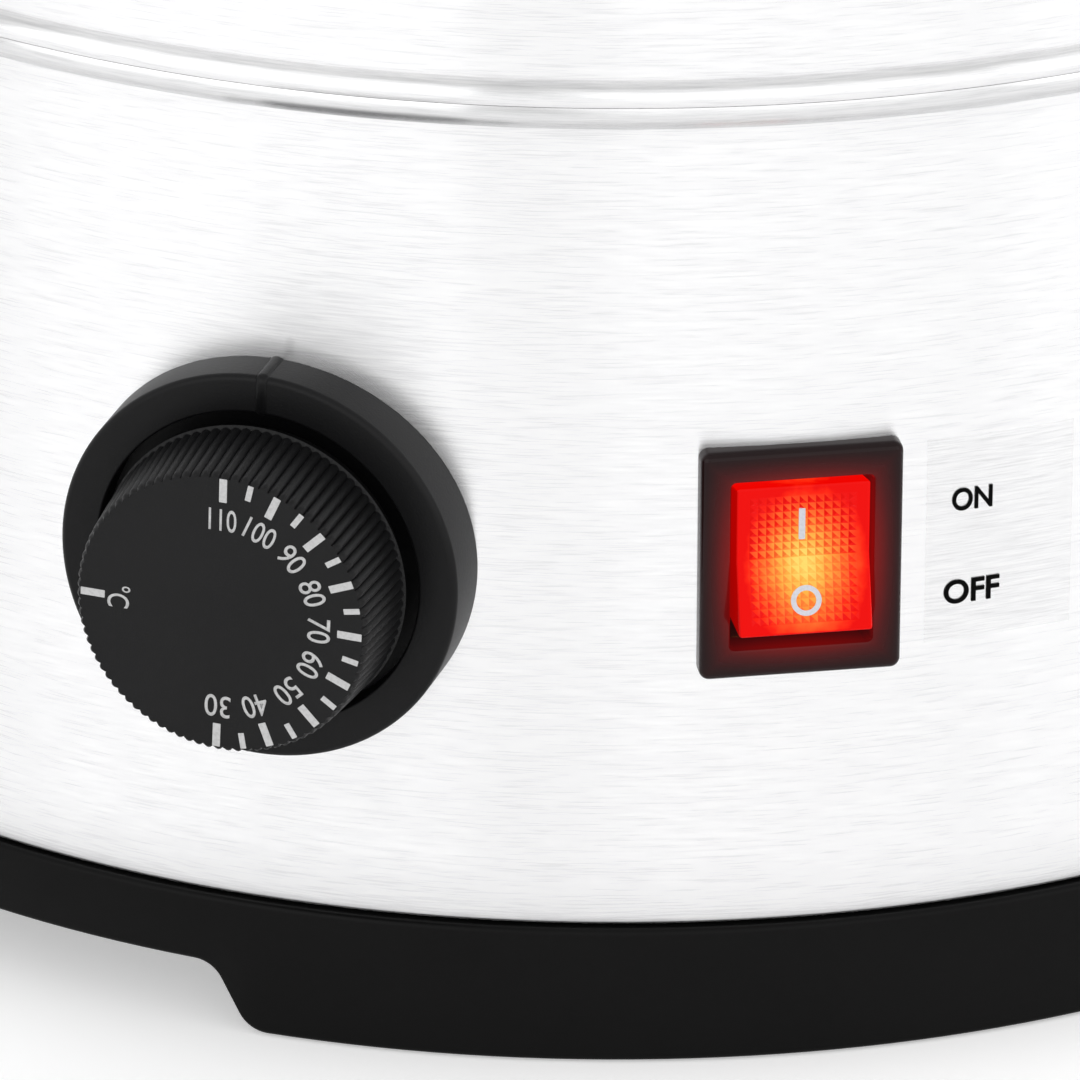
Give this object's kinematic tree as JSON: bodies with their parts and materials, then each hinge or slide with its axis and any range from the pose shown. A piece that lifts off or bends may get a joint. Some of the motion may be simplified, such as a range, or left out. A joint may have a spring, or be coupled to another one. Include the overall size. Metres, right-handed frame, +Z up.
{
  "type": "yogurt maker",
  "caption": "Heated steel drum on a black base ring, with a dial thermostat, a lit rocker switch and a lidded pot that lifts out.",
  "frame": {"origin": "on the floor, on the drum's axis", "axes": "+Z up along the drum's axis, -Y to the front between the dial and the switch, +X to the right handle seen from the front"},
  "size_m": [0.37, 0.3198, 0.3889],
  "materials": {
    "drum_steel": "fine horizontal brushing, near white, satin shine",
    "bright_steel": "deep drawn, fine polish, food grade",
    "zinc_steel": "zinc plated fastener and bracket steel",
    "cast_aluminium": "cast plate, as cast",
    "brass": "turned and tin plated brass",
    "base_black": "moulded black, satin",
    "dial_black": "moulded black, fine matt grain, pale grey printed marks",
    "handle_black": "black heat resistant moulding, soft shine",
    "switch_black": "glossy black moulding with a faint red sheen from the lamp",
    "rocker_red": "clear red lens lit amber from behind, pyramid texture, white I and O",
    "foot_rubber": "matt black rubber",
    "silicone": "milky white silicone",
    "wool": "mineral wool blanket",
    "label_film": "thin clear film printed with black ON and OFF",
    "inner_plastic": "moulded phenolic housing",
    "terminal_white": "unglazed white steatite",
    "lamp_glass": "small neon lamp",
    "wire_silicone": "red brown silicone insulation"
  },
  "bodies": {
    "base": {"base_ring": "base_black", "base_plate": "drum_steel", "lower_drum": "drum_steel", "upper_drum": "drum_steel", "inner_tank": "bright_steel", "insulation": "wool", "heater_plate": "cast_aluminium", "heating_element": "zinc_steel", "heater_bracket": "zinc_steel", "heater_nut": "zinc_steel", "thermal_cutout": "inner_plastic", "sensor_bulb": "brass", "capillary": "brass", "dial_bezel": "dial_black", "thermostat_plate": "zinc_steel", "thermostat_body": "inner_plastic", "thermostat_screw_left": "zinc_steel", "thermostat_screw_right": "zinc_steel", "switch_frame": "switch_black", "switch_lamp": "lamp_glass", "on_off_label": "label_film", "inlet_housing": "base_black", "inlet_socket": "inner_plastic", "inlet_pin_line": "brass", "inlet_pin_neutral": "brass", "inlet_pin_earth": "brass", "inlet_screw_right": "zinc_steel", "inlet_screw_left": "zinc_steel", "terminal_block": "terminal_white", "wire_supply": "wire_silicone", "wire_switch": "wire_silicone", "wire_thermostat": "wire_silicone", "wire_heater": "wire_silicone", "handle_left": "handle_black", "handle_right": "handle_black", "rubber_pad_1": "foot_rubber", "base_screw_1": "zinc_steel", "switch_terminal_1": "brass", "rubber_pad_2": "foot_rubber", "base_screw_2": "zinc_steel", "switch_terminal_2": "brass", "rubber_pad_3": "foot_rubber", "base_screw_3": "zinc_steel", "switch_terminal_3": "brass", "rubber_pad_4": "foot_rubber", "base_screw_4": "zinc_steel", "switch_terminal_4": "brass", "handle_screw_left_front": "zinc_steel", "handle_screw_left_back": "zinc_steel", "handle_screw_right_front": "zinc_steel", "handle_screw_right_back": "zinc_steel"},
    "dial": {"dial_knob": "dial_black", "thermostat_shaft": "brass"},
    "rocker": {"switch_rocker": "rocker_red"},
    "pot": {"fermenting_pot": "bright_steel"},
    "lid": {"lid": "drum_steel", "lid_gasket": "silicone", "lid_knob": "handle_black", "lid_screw": "zinc_steel"}
  },
  "joints": [
    {"name": "dial_turn", "type": "hinge", "parent": "base", "child": "dial", "pos_m": [-0.03281, -0.1361, 0.0685], "axis": [-0.2344, -0.9721, 0], "range_deg": [0, 270]},
    {"name": "rocker_tilt", "type": "hinge", "parent": "base", "child": "rocker", "pos_m": [0.03169, -0.13143, 0.06975], "axis": [0.9721, 0.2344, 0], "range_deg": [0, 17.52]},
    {"name": "pot_lift", "type": "slide", "parent": "base", "child": "pot", "axis": [0, 0, 1], "range_m": [0, 0.26]},
    {"name": "lid_lift", "type": "slide", "parent": "pot", "child": "lid", "axis": [0, 0, 1], "range_m": [0, 0.08]}
  ]
}
